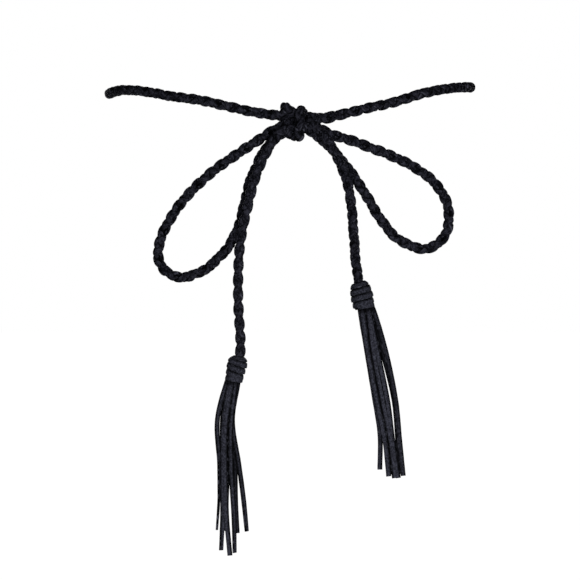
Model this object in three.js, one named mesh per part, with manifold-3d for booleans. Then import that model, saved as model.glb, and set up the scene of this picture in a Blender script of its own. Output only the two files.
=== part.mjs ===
// Rope belt: a rope braided from four flat suede laces, once round the waist and tied in a bow in
// front, with each end bound off in a wrapped tassel. Millimetres, +Z up, front of the belt
// towards -Y, origin in the middle of the waist at the height of the rope at the hips.

import * as THREE from "three";
import { mergeVertices } from "three/addons/utils/BufferGeometryUtils.js";
import Module from "manifold-3d";

const wasm = await Module();
wasm.setup();

// Driving dimensions
const ROPE_ACROSS = 7;
const ROPE_ACROSS_IN_KNOT = 6.6;
const ROPE_SIDES = 10;
const LACE_WIDTH = 3;
const LACE_THICK = 1.5;
const CLEARANCE = 0.3;

// The wearer that the belt lies on: an ellipse that widens from the waist down to the hips
const WAIST_HALF_WIDTH = 125.5;
const WAIST_HALF_DEPTH = 93;
const HIP_HALF_WIDTH = 179.5;
const HIP_HALF_DEPTH = 114;
const HIP_BELOW_WAIST = 130;

// How far apart the rings of a tube lie, for gentle stretches, bows and the tight knot
const WAIST_STEP = 18;
const TAIL_STEP = 8;
const LOOP_STEP = 9;
const KNOT_STEP = 2.6;

// The head of each tassel: a lace wound round the rope's end and the tops of the hanging laces
const WRAP_LONG = 16;
const WRAP_TURNS = 5;
const WRAP_SIDES = 20;
const WRAP_HOOD = 3;
const WRAP_GROOVE = 0.5;
const WRAP_SHOULDER = 0.25;
const ROPE_INTO_WRAP = 2.4;
const ROPE_EASE_IN_WRAP = 1;

// The hanging laces
const FRINGE_LONG = 113;
const TOPS_BELOW_WRAP = 4;
const STRIP_STEPS = 12;
const PRESSED_SHARE = 0.98;

const TASSELS = {
  left: { wrapAcross: 12.4, leanDegrees: 12, fringeLong: FRINGE_LONG },
  right: { wrapAcross: 14, leanDegrees: -11, fringeLong: FRINGE_LONG },
};

// Every hanging lace. Sideways places are in lace widths from the foot of the head: at the foot,
// at PLACES_DOWN, which are shares of the lace's length, and at the tip. long is a share of
// fringeLong, and layer 0 is the front, in lace thicknesses.
const PLACES_DOWN = { quarter: 0.25, middle: 0.55, low: 0.78 };
const LACES = {
  left: [
    { foot: -1.2, quarter: -3.42, middle: -3.05, low: -3.1, tip: -3.55, long: 0.853, layer: 1 },
    { foot: -0.78, quarter: -2.19, middle: -2.34, low: -2.28, tip: -2.61, long: 0.97, layer: 0.1 },
    { foot: -1.07, quarter: -2.46, middle: -2.28, low: -2.04, tip: -1.77, long: 0.86, layer: 1.15 },
    { foot: -0.12, quarter: -1.57, middle: -1.66, low: -1.4, tip: -0.69, long: 1, layer: 0 },
    { foot: 0.6, quarter: -0.45, middle: -0.34, low: 0.15, tip: 0.34, long: 0.985, layer: 0.15 },
    { foot: 0.2, quarter: -0.89, middle: -1.15, low: -1.5, tip: -1.51, long: 0.86, layer: 1.1 },
    { foot: 0.76, quarter: -0.28, middle: 0.27, low: 0.47, tip: 0.87, long: 0.873, layer: 0.95 },
    { foot: 1.05, quarter: -0.2, middle: 1.1, low: 2.2, tip: 2.98, long: 0.862, layer: 0.25 },
  ],
  right: [
    { foot: -0.95, quarter: 0.46, middle: 2.18, low: 3.39, tip: 3.37, long: 0.926, layer: 1 },
    { foot: -0.42, quarter: 0.77, middle: 2.79, low: 4.44, tip: 5.28, long: 0.964, layer: 0.1 },
    { foot: 0.1, quarter: 1.3, middle: 3.39, low: 5.04, tip: 6.1, long: 0.955, layer: 1.15 },
    { foot: 0.59, quarter: 1.8, middle: 3.89, low: 5.52, tip: 6.53, long: 0.974, layer: 0 },
    { foot: 0.8, quarter: 2.4, middle: 4.51, low: 5.85, tip: 7, long: 0.96, layer: 1.05 },
    { foot: 1.01, quarter: 2.95, middle: 5.13, low: 6.2, tip: 7.39, long: 0.974, layer: 0.2 },
    { foot: 1.2, quarter: 4, middle: 6.64, low: 7.35, tip: 7.8, long: 0.955, layer: 1.1 },
    { foot: 1.2, quarter: 4.6, middle: 6.86, low: 7.68, tip: 8.49, long: 0.962, layer: 0.15 },
  ],
};

// The rope's one route, from the left tassel to the right one. In front a row is across, height
// and layer: 0 lies on the wearer and 1 lies on one rope. Round the waist a row is the turn in
// degrees from the front, towards the right, then the height.
const ROUTE = [
  {
    piece: "tail_left",
    front: [
      [-34.1, -188.5, 0.45], [-32.7, -184, 0.45], [-32.5, -176, 0.2], [-33.2, -165, 0.05],
      [-34, -151, 0.05], [-34.1, -135, 0.05], [-33.2, -117, 0.5], [-31.2, -103, 0.95],
      [-27.8, -88, 1.05], [-24.6, -74.5, 1.05], [-20, -61, 1.1], [-13.7, -48.5, 1.25],
    ],
  },
  {
    piece: "bow_knot",
    front: [[-7.5, -39.6, 1.35], [-0.5, -36.8, 1.15], [6.6, -35, 0.9], [15, -38, 0.4], [19.5, -41.2, 0.15]],
  },
  {
    piece: "bow_loop_right",
    front: [
      [27.2, -48.2, 0.05], [37.6, -60.6, 0.05], [45.6, -72, 0.05], [52.3, -83, 0.05], [60.8, -97, 0.05],
      [69.8, -107.4, 0.05], [80.5, -113.4, 0.05], [90, -115, 0.05], [99.4, -111, 0.05],
      [105, -102.4, 0.05], [106.6, -91.5, 0.05], [103.5, -79.3, 0.05], [95.4, -68.6, 0.05],
      [83.2, -60, 0.05], [67.5, -52.6, 0.05], [53.4, -47.4, 0.05], [40, -42.6, 0.05],
    ],
  },
  {
    piece: "bow_knot",
    front: [
      [26.6, -38.7, 0.15], [16, -33.7, 0.3], [10.5, -34, 0.15], [4.6, -35, 0.05], [-1.2, -33, 0],
      [-3, -28.3, 0.05], [-3, -23.6, 0.45], [-2.8, -20.9, 1], [-2, -23.6, 1.55],
      [1.8, -25, 1.35], [6.4, -26.2, 0.95], [12, -27.2, 0.5],
    ],
  },
  {
    piece: "waist_rope",
    round: [
      [9.5, -28.3], [17, -24.3], [24.6, -20], [33, -15.8], [41, -10.6], [49, -6.6], [58, -3.4],
      [68, -1], [79, 1], [90, 2.5], [100, 4.2], [110, 5.6], [121, 6], [131, 4.4], [141, 0.2],
      [150, -3], [160, -7], [170, -10.5], [180, -10.5], [190, -7.2], [200, -3], [210, 1],
      [220, 2.8], [230, 4.3], [240, 5], [250, 4], [260, 1], [270, -2], [280, -3], [292, -3.2],
      [303, -4.8], [312, -7.4], [322, -11.4], [331, -14.4], [339, -18.4], [347.3, -22.8], [353, -25.2],
    ],
  },
  {
    piece: "bow_knot",
    front: [
      [-9.5, -26.3, 0.55], [-3.6, -26.5, 0.93], [2.5, -27, 0.55], [6, -26.8, 0.1], [8.2, -25.2, 0.3],
      [8, -23.8, 0.95], [6.8, -24.2, 1.6], [6.3, -28.5, 1.9], [6.5, -34, 1.95], [6.5, -38.5, 1.65],
      [5.8, -40.8, 1.05], [3, -40.2, 0.45], [-1.5, -38.5, 0.2], [-6.5, -39.5, 0.1],
      [-10.5, -42.5, 0.1], [-14.5, -46.8, 0.05],
    ],
  },
  {
    piece: "bow_loop_left",
    front: [
      [-19.2, -54, 0.05], [-23, -62, 0.05], [-27.4, -74, 0.05], [-30.4, -87.6, 0.05],
      [-35.5, -105, 0.05], [-43.4, -117.5, 0.05], [-54.7, -128, 0.05], [-69.3, -134, 0.05],
      [-81.6, -130.8, 0.05], [-87.6, -119.5, 0.05], [-84.3, -104.6, 0.05], [-72.4, -84.7, 0.05],
      [-55.1, -66.8, 0.05], [-43, -57.5, 0.05], [-31, -49.4, 0.05],
    ],
  },
  {
    piece: "bow_knot",
    front: [
      [-20, -42.3, 0.2], [-10.8, -36.4, 0.5], [-4.4, -33.5, 0.75], [1.6, -31.5, 0.65],
      [6.6, -30.5, 0.6], [12.5, -32, 0.95], [17.5, -35.2, 1.2],
    ],
  },
  {
    piece: "tail_right",
    front: [
      [22.2, -40.2, 1.25], [26.6, -46.6, 1.2], [32.2, -57, 1.1], [36.6, -68, 0.95], [39.4, -78.8, 0.4],
      [40.9, -91, 0.05], [42, -106, 0.05], [43, -121, 0.1], [44.2, -131.5, 0.4],
      [45.2, -136.7, 0.5], [46, -140.8, 0.5],
    ],
  },
];

const KNOT_RINGS = 3;
const SLIVER = 0.03;
const LENGTH_SAMPLES = 200;

const suede = (color) => new THREE.MeshStandardMaterial({ color, roughness: 0.95, metalness: 0 });
const BRAID_SUEDE = suede("#1d1e26");
const LACE_SUEDE = suede("#24252e");

// The wearer's half width and half depth at a height
function wearerAt(height) {
  const down = THREE.MathUtils.smoothstep(-height, 0, HIP_BELOW_WAIST);
  return {
    halfWidth: THREE.MathUtils.lerp(WAIST_HALF_WIDTH, HIP_HALF_WIDTH, down),
    halfDepth: THREE.MathUtils.lerp(WAIST_HALF_DEPTH, HIP_HALF_DEPTH, down),
  };
}

// How far the middle of the rope stands off the wearer
const standOff = (layer) => ROPE_ACROSS / 2 + layer * (ROPE_ACROSS + CLEARANCE);

function onFront([across, height, layer]) {
  const { halfWidth, halfDepth } = wearerAt(height);
  const bulge = Math.sqrt(1 - (across / halfWidth) ** 2);
  return new THREE.Vector3(across, -halfDepth * bulge - standOff(layer), height);
}

function roundWaist([turn, height]) {
  const angle = THREE.MathUtils.degToRad(turn);
  const width = WAIST_HALF_WIDTH + standOff(0);
  const depth = WAIST_HALF_DEPTH + standOff(0);
  return new THREE.Vector3(width * Math.sin(angle), -depth * Math.cos(angle), height);
}

// One smooth curve through every row, and where each stretch of it starts and ends along it
function ropeLine() {
  const points = [];
  const stretches = ROUTE.map(({ piece, front = [], round = [] }) => {
    const first = points.length;
    points.push(...front.map(onFront), ...round.map(roundWaist));
    return { piece, first, last: points.length - 1 };
  });
  const curve = new THREE.CatmullRomCurve3(points, false, "centripetal");
  curve.arcLengthDivisions = LENGTH_SAMPLES * (points.length - 1);
  const lengths = curve.getLengths();
  const lengthAt = (place) => lengths[Math.round(place * LENGTH_SAMPLES)];
  const end = points.length - 1;
  return stretches.map(({ piece, first, last }) => ({
    piece,
    curve,
    from: first === 0 ? 0 : lengthAt(first - 0.5) + CLEARANCE / 2,
    to: last === end ? lengthAt(end) : lengthAt(last + 0.5) - CLEARANCE / 2,
    whole: lengthAt(end),
  }));
}

class Stretch extends THREE.Curve {
  constructor({ curve, from, to, whole }) {
    super();
    this.curve = curve;
    this.from = from / whole;
    this.to = to / whole;
  }

  getPoint(share, target) {
    return this.curve.getPointAt(THREE.MathUtils.lerp(this.from, this.to, share), target);
  }
}

function tube(stretch, across, step) {
  const ring = new THREE.Shape();
  ring.absarc(0, 0, across / 2, 0, 2 * Math.PI);
  return new THREE.ExtrudeGeometry(ring, {
    extrudePath: new Stretch(stretch),
    steps: Math.max(KNOT_RINGS, Math.round((stretch.to - stretch.from) / step)),
    curveSegments: ROPE_SIDES / 2,
    bevelEnabled: false,
  });
}

// Solids are joined as closed meshes whose corners are shared
function toSolid(geometry) {
  const bare = geometry.clone();
  bare.deleteAttribute("normal");
  bare.deleteAttribute("uv");
  const merged = mergeVertices(bare, 1e-4);
  const corners = merged.index.array;
  const triVerts = [];
  for (let k = 0; k < corners.length; k += 3) {
    const [a, b, c] = corners.slice(k, k + 3);
    if (a !== b && b !== c && c !== a) triVerts.push(a, b, c);
  }
  return new wasm.Manifold(
    new wasm.Mesh({
      numProp: 3,
      vertProperties: new Float32Array(merged.attributes.position.array),
      triVerts: new Uint32Array(triVerts),
    }),
  );
}

function fromSolid(solid) {
  const mesh = solid.getMesh();
  const geometry = new THREE.BufferGeometry();
  geometry.setAttribute("position", new THREE.BufferAttribute(mesh.vertProperties, 3));
  geometry.setIndex(new THREE.BufferAttribute(mesh.triVerts, 1));
  geometry.computeVertexNormals();
  return geometry;
}

// The largest closed skin of the joined pieces: rope drawn tight leaves no sealed hollow inside.
// Slivers narrower than SLIVER, left where two faces nearly meet, are closed up.
function fuse(geometries) {
  const joined = geometries.map(toSolid).reduce((sum, solid) => sum.add(solid));
  const skins = joined.simplify(SLIVER).decompose().sort((a, b) => b.volume() - a.volume());
  return fromSolid(skins[0]);
}

function piece(name, geometry, material) {
  const mesh = new THREE.Mesh(geometry, material);
  mesh.name = name;
  return mesh;
}

function ropePieces(stretches) {
  const steps = { waist_rope: WAIST_STEP, bow_loop_left: LOOP_STEP, bow_loop_right: LOOP_STEP };
  const group = new THREE.Group();
  stretches
    .filter((stretch) => stretch.piece !== "bow_knot")
    .forEach((stretch) => {
      const step = steps[stretch.piece] ?? TAIL_STEP;
      group.add(piece(stretch.piece, tube(stretch, ROPE_ACROSS, step), BRAID_SUEDE));
    });
  return group;
}

// The four passes of the rope through the bow's knot, pressed into one another
function bowKnot(stretches) {
  const passes = stretches
    .filter((stretch) => stretch.piece === "bow_knot")
    .map((stretch) => tube(stretch, ROPE_ACROSS_IN_KNOT, KNOT_STEP));
  return piece("bow_knot", fuse(passes), BRAID_SUEDE);
}

// A tassel is drawn hanging from its own origin, where the rope meets the top of the wrap
const lathe = (profile) =>
  new THREE.LatheGeometry(profile.map(([r, z]) => new THREE.Vector2(r, z)), WRAP_SIDES).rotateX(Math.PI / 2);

function wrapShape(wrapAcross) {
  const outer = wrapAcross / 2;
  const mouth = (ROPE_ACROSS + ROPE_EASE_IN_WRAP) / 2;
  const bore = outer - LACE_THICK;
  const turn = WRAP_LONG / WRAP_TURNS;
  const turns = Array.from({ length: WRAP_TURNS }, (_, k) => [
    [outer - WRAP_GROOVE, k * turn - WRAP_LONG],
    [outer, (k + WRAP_SHOULDER) * turn - WRAP_LONG],
    [outer, (k + 1 - WRAP_SHOULDER) * turn - WRAP_LONG],
  ]);
  return lathe([
    [mouth, 0],
    [mouth, -WRAP_HOOD],
    [bore, -WRAP_HOOD],
    [bore, -WRAP_LONG],
    ...turns.flat(),
    [bore, 0],
    [mouth, 0],
  ]);
}

// The bound tops of the laces: they fill the wrap and reach far enough below it to hold each strip
function boundTops(wrapAcross) {
  const radius = wrapAcross / 2 - LACE_THICK - CLEARANCE;
  const top = -Math.max(WRAP_HOOD, ROPE_INTO_WRAP) - CLEARANCE;
  const foot = -WRAP_LONG - TOPS_BELOW_WRAP;
  return lathe([
    [0, foot],
    [radius - LACE_THICK / 2, foot],
    [radius, -WRAP_LONG],
    [radius, top],
    [0, top],
  ]);
}

// One hanging lace, cut flat from its outline: its middle line, half a lace's width to each side
function laceStrip({ foot, quarter, middle, low, tip, long, layer }, fringeLong) {
  const length = long * fringeLong;
  const line = new THREE.SplineCurve(
    [
      [foot, 0],
      [quarter, PLACES_DOWN.quarter],
      [middle, PLACES_DOWN.middle],
      [low, PLACES_DOWN.low],
      [tip, 1],
    ].map(([side, share]) => new THREE.Vector2(side * LACE_WIDTH, -share * length)),
  );
  const places = line.getPoints(STRIP_STEPS);
  const edge = (side) => places.map(({ x, y }) => new THREE.Vector2(x + (side * LACE_WIDTH) / 2, y));
  const outline = new THREE.Shape([...edge(1), ...edge(-1).reverse()]);
  const strip = new THREE.ExtrudeGeometry(outline, { depth: LACE_THICK, bevelEnabled: false });
  return strip.rotateX(Math.PI / 2).translate(0, layer * LACE_THICK * PRESSED_SHARE, 0);
}

function tassel(side, tail) {
  const { wrapAcross, leanDegrees, fringeLong } = TASSELS[side];
  const lean = THREE.MathUtils.degToRad(leanDegrees);
  const ropeEnd = new Stretch(tail).getPoint(side === "left" ? 0 : 1);

  const head = new THREE.Group();
  head.position.set(Math.sin(lean), 0, Math.cos(lean)).multiplyScalar(ROPE_INTO_WRAP).add(ropeEnd);
  head.rotation.y = lean;
  head.add(piece(`tassel_wrap_${side}`, wrapShape(wrapAcross), LACE_SUEDE));

  // The laces hang plumb from the leaning head, so they are turned back about the wrap's foot
  const below = CLEARANCE + (wrapAcross / 2) * Math.abs(Math.sin(lean));
  const strips = LACES[side].map((lace) =>
    laceStrip(lace, fringeLong).rotateY(-lean).translate(0, 0, -WRAP_LONG - below),
  );
  head.add(piece(`tassel_fringe_${side}`, fuse([boundTops(wrapAcross), ...strips]), LACE_SUEDE));
  return head;
}

function ropeBelt() {
  const stretches = ropeLine();
  const belt = new THREE.Group();
  belt.add(ropePieces(stretches));
  belt.add(bowKnot(stretches));
  belt.add(tassel("left", stretches[0]));
  belt.add(tassel("right", stretches.at(-1)));
  return belt;
}

export default ropeBelt();
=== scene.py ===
# %% [markdown]
# # A braided suede rope belt
#
# The belt is one long rope, braided round from four flat suede laces. It goes once round the waist,
# is tied in a bow in front, and each of its two ends is bound off in a wrapped tassel. The lesson
# follows a maker's order: where the rope runs, how it is braided, how it is knotted, how the ends
# are wrapped, and how the laces hang. It starts from a frame of plain solids that fixes every size,
# so each piece here only has to take the place of a solid that is already there.

# %% The frame
import math

import bpy
import numpy as np
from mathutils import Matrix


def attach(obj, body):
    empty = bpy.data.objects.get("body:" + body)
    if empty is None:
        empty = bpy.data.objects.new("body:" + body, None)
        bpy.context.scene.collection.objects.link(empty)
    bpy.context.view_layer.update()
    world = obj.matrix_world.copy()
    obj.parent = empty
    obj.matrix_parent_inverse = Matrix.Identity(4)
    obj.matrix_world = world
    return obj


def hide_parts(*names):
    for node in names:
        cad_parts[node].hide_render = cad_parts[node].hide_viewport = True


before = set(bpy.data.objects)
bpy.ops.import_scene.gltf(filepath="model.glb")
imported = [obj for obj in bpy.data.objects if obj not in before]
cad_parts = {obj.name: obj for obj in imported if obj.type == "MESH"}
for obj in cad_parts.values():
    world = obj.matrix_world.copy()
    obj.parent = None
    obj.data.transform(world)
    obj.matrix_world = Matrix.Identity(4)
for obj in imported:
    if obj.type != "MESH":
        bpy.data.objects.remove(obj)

scene = bpy.context.scene
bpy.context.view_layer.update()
print("solids in the frame:", sorted(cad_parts))

# %% [markdown]
# ## The camera
#
# A long lens a good step away keeps the far side of the loop round the waist nearly as large as the
# near side, as a picture for a shop does. The camera is level, and half way down the belt.

# %% The camera
CAMERA_PLACE = (0, -1.4, -0.1425)
LENS = 121.3
SENSOR = 36

camera = bpy.data.objects.new("camera", bpy.data.cameras.new("camera"))
camera.data.lens = LENS
camera.data.sensor_width = SENSOR
camera.location = CAMERA_PLACE
camera.rotation_euler = (math.radians(90), 0, 0)
scene.collection.objects.link(camera)
scene.camera = camera
print("camera", math.degrees(camera.data.angle), "degrees wide")

# %% [markdown]
# ## Where the rope runs
#
# A soft rope has no shape of its own, so its route comes first. The rope lies on a wearer who is an
# ellipse at the waist and a wider one at the hips. In front, a row of the route is a place across,
# a height, and a layer: 0 lies on the wearer and 1 lies on top of one rope. Round the waist, a row
# is a turn in degrees and a height. The rows were chosen one by one, and the frame's own solids follow
# the same ones, so what is made here lies exactly where they lie.

# %% Sizes of the rope and of the wearer, in metres
ROPE_ACROSS = 0.007
LACE_WIDTH = 0.003
LACE_THICK = 0.0015
CLEARANCE = 0.0003

WAIST_HALF_WIDTH = 0.1255
WAIST_HALF_DEPTH = 0.093
HIP_HALF_WIDTH = 0.1795
HIP_HALF_DEPTH = 0.114
HIP_BELOW_WAIST = 0.13


def wearer_at(height):
    """The wearer's half width and half depth at a height."""
    down = min(max(-height / HIP_BELOW_WAIST, 0), 1)
    down = down * down * (3 - 2 * down)
    half_width = WAIST_HALF_WIDTH + (HIP_HALF_WIDTH - WAIST_HALF_WIDTH) * down
    half_depth = WAIST_HALF_DEPTH + (HIP_HALF_DEPTH - WAIST_HALF_DEPTH) * down
    return half_width, half_depth


def stand_off(layer):
    """How far the middle of the rope stands off the wearer."""
    return ROPE_ACROSS / 2 + layer * (ROPE_ACROSS + CLEARANCE)


def on_front(across, height, layer):
    half_width, half_depth = wearer_at(height)
    bulge = math.sqrt(1 - (across / half_width) ** 2)
    return across, -half_depth * bulge - stand_off(layer), height


def round_waist(turn, height):
    angle = math.radians(turn)
    width = WAIST_HALF_WIDTH + stand_off(0)
    depth = WAIST_HALF_DEPTH + stand_off(0)
    return width * math.sin(angle), -depth * math.cos(angle), height


# %% The route, from the left tassel to the right one
ROUTE = [
    ("tail_left", on_front, [
        (-0.0341, -0.1885, 0.45), (-0.0327, -0.184, 0.45), (-0.0325, -0.176, 0.2),
        (-0.0332, -0.165, 0.05), (-0.034, -0.151, 0.05), (-0.0341, -0.135, 0.05),
        (-0.0332, -0.117, 0.5), (-0.0312, -0.103, 0.95), (-0.0278, -0.088, 1.05),
        (-0.0246, -0.0745, 1.05), (-0.02, -0.061, 1.1), (-0.0137, -0.0485, 1.25),
    ]),
    ("bow_knot", on_front, [
        (-0.0075, -0.0396, 1.35), (-0.0005, -0.0368, 1.15), (0.0066, -0.035, 0.9),
        (0.015, -0.038, 0.4), (0.0195, -0.0412, 0.15),
    ]),
    ("bow_loop_right", on_front, [
        (0.0272, -0.0482, 0.05), (0.0376, -0.0606, 0.05), (0.0456, -0.072, 0.05), (0.0523, -0.083, 0.05),
        (0.0608, -0.097, 0.05), (0.0698, -0.1074, 0.05), (0.0805, -0.1134, 0.05), (0.09, -0.115, 0.05),
        (0.0994, -0.111, 0.05), (0.105, -0.1024, 0.05), (0.1066, -0.0915, 0.05),
        (0.1035, -0.0793, 0.05), (0.0954, -0.0686, 0.05), (0.0832, -0.06, 0.05),
        (0.0675, -0.0526, 0.05), (0.0534, -0.0474, 0.05), (0.04, -0.0426, 0.05),
    ]),
    ("bow_knot", on_front, [
        (0.0266, -0.0387, 0.15), (0.016, -0.0337, 0.3), (0.0105, -0.034, 0.15),
        (0.0046, -0.035, 0.05), (-0.0012, -0.033, 0), (-0.003, -0.0283, 0.05),
        (-0.003, -0.0236, 0.45), (-0.0028, -0.0209, 1), (-0.002, -0.0236, 1.55),
        (0.0018, -0.025, 1.35), (0.0064, -0.0262, 0.95), (0.012, -0.0272, 0.5),
    ]),
    ("waist_rope", round_waist, [
        (9.5, -0.0283), (17, -0.0243), (24.6, -0.02), (33, -0.0158), (41, -0.0106), (49, -0.0066),
        (58, -0.0034), (68, -0.001), (79, 0.001), (90, 0.0025), (100, 0.0042), (110, 0.0056),
        (121, 0.006), (131, 0.0044), (141, 0.0002), (150, -0.003), (160, -0.007), (170, -0.0105),
        (180, -0.0105), (190, -0.0072), (200, -0.003), (210, 0.001), (220, 0.0028), (230, 0.0043),
        (240, 0.005), (250, 0.004), (260, 0.001), (270, -0.002), (280, -0.003), (292, -0.0032),
        (303, -0.0048), (312, -0.0074), (322, -0.0114), (331, -0.0144), (339, -0.0184),
        (347.3, -0.0228), (353, -0.0252),
    ]),
    ("bow_knot", on_front, [
        (-0.0095, -0.0263, 0.55), (-0.0036, -0.0265, 0.93), (0.0025, -0.027, 0.55),
        (0.006, -0.0268, 0.1), (0.0082, -0.0252, 0.3), (0.008, -0.0238, 0.95),
        (0.0068, -0.0242, 1.6), (0.0063, -0.0285, 1.9), (0.0065, -0.034, 1.95), (0.0065, -0.0385, 1.65),
        (0.0058, -0.0408, 1.05), (0.003, -0.0402, 0.45), (-0.0015, -0.0385, 0.2), (-0.0065, -0.0395, 0.1),
        (-0.0105, -0.0425, 0.1), (-0.0145, -0.0468, 0.05),
    ]),
    ("bow_loop_left", on_front, [
        (-0.0192, -0.054, 0.05), (-0.023, -0.062, 0.05), (-0.0274, -0.074, 0.05),
        (-0.0304, -0.0876, 0.05), (-0.0355, -0.105, 0.05), (-0.0434, -0.1175, 0.05),
        (-0.0547, -0.128, 0.05), (-0.0693, -0.134, 0.05), (-0.0816, -0.1308, 0.05),
        (-0.0876, -0.1195, 0.05), (-0.0843, -0.1046, 0.05), (-0.0724, -0.0847, 0.05),
        (-0.0551, -0.0668, 0.05), (-0.043, -0.0575, 0.05), (-0.031, -0.0494, 0.05),
    ]),
    ("bow_knot", on_front, [
        (-0.02, -0.0423, 0.2), (-0.0108, -0.0364, 0.5), (-0.0044, -0.0335, 0.75),
        (0.0016, -0.0315, 0.65), (0.0066, -0.0305, 0.6), (0.0125, -0.032, 0.95),
        (0.0175, -0.0352, 1.2),
    ]),
    ("tail_right", on_front, [
        (0.0222, -0.0402, 1.25), (0.0266, -0.0466, 1.2), (0.0322, -0.057, 1.1),
        (0.0366, -0.068, 0.95), (0.0394, -0.0788, 0.4), (0.0409, -0.091, 0.05), (0.042, -0.106, 0.05),
        (0.043, -0.121, 0.1), (0.0442, -0.1315, 0.4), (0.0452, -0.1367, 0.5), (0.046, -0.1408, 0.5),
    ]),
]

# %% [markdown]
# ## One smooth line through the rows
#
# A centripetal Catmull-Rom curve passes through every row without loops or overshoots, even where
# the rows lie close together in the knot. It is worked out here as close points an even step apart,
# because a braid is counted in turns for each length of rope, and that needs true lengths.

# %% The rope's middle line
LINE_STEPS = 60
LINE_SPACING = 0.0005


def smooth_line(points, steps=LINE_STEPS):
    """A centripetal Catmull-Rom curve, as so many straight steps from each point to the next."""
    points = np.array(points, float)
    ends = np.vstack([2 * points[0] - points[1], points, 2 * points[-1] - points[-2]])
    share = np.linspace(0, 1, steps, endpoint=False)[:, None]
    spans = []
    for a, b, c, d in zip(ends, ends[1:], ends[2:], ends[3:]):
        before, here, after = (math.sqrt(np.linalg.norm(q - p)) for p, q in ((a, b), (b, c), (c, d)))
        leave = ((b - a) / before - (c - a) / (before + here) + (c - b) / here) * here
        reach = ((c - b) / here - (d - b) / (here + after) + (d - c) / after) * here
        square = 3 * (c - b) - 2 * leave - reach
        cube = 2 * (b - c) + leave + reach
        spans.append(b + leave * share + square * share**2 + cube * share**3)
    return np.vstack([*spans, points[-1:]])


def lengths_along(line):
    """How far along the line each of its points lies."""
    return np.concatenate([[0], np.cumsum(np.linalg.norm(np.diff(line, axis=0), axis=1))])


def evenly(line, spacing):
    """The same line with its points an even step apart."""
    lengths = lengths_along(line)
    places = np.linspace(0, lengths[-1], round(lengths[-1] / spacing) + 1)
    return np.column_stack([np.interp(places, lengths, line[:, k]) for k in range(3)])


rough_line = smooth_line([lie(*row) for _, lie, rows in ROUTE for row in rows])
rough_lengths = lengths_along(rough_line)
rope_line = evenly(rough_line, LINE_SPACING)
rope_places = lengths_along(rope_line)
print("the whole rope is", round(rope_places[-1], 3), "m long")

# %% [markdown]
# Each stretch of the rope ends half way between its last row and the next stretch's first row. The
# four short stretches that pass through the knot belong to one piece.

# %% Where each stretch starts and ends along the rope
stretches = []
row_count = sum(len(rows) for _, _, rows in ROUTE)
first_row = 0
for name, _, rows in ROUTE:
    last_row = first_row + len(rows) - 1
    start = 0 if first_row == 0 else rough_lengths[round((first_row - 0.5) * LINE_STEPS)]
    is_end = last_row == row_count - 1
    end = rope_places[-1] if is_end else rough_lengths[round((last_row + 0.5) * LINE_STEPS)]
    stretches.append((name, start, end))
    first_row = last_row + 1
    print(name, "from", round(start, 3), "to", round(end, 3), "m")

# %% [markdown]
# ## Node trees that read like sums
#
# The braid and the suede are worked out by nodes. A tree with a hundred Math nodes is hard to read
# when each is made and linked by hand, so two small helpers come first. A Field stands for one
# output of a node, and adding or multiplying fields makes the node that does it. A Sheet is the tree
# that they are written on.

# %% Helpers for node trees
class Field:
    """One output of a node."""

    def __init__(self, sheet, socket):
        self.sheet = sheet
        self.socket = socket
        self.is_vector = socket.type == "VECTOR"

    def __add__(self, other):
        return self.sheet.work("ADD", self, other)

    def __radd__(self, other):
        return self.sheet.work("ADD", other, self)

    def __sub__(self, other):
        return self.sheet.work("SUBTRACT", self, other)

    def __rsub__(self, other):
        return self.sheet.work("SUBTRACT", other, self)

    def __mul__(self, other):
        return self.sheet.work("MULTIPLY", self, other)

    def __rmul__(self, other):
        return self.sheet.work("MULTIPLY", other, self)

    def __truediv__(self, other):
        return self.sheet.work("DIVIDE", self, other)


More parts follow.
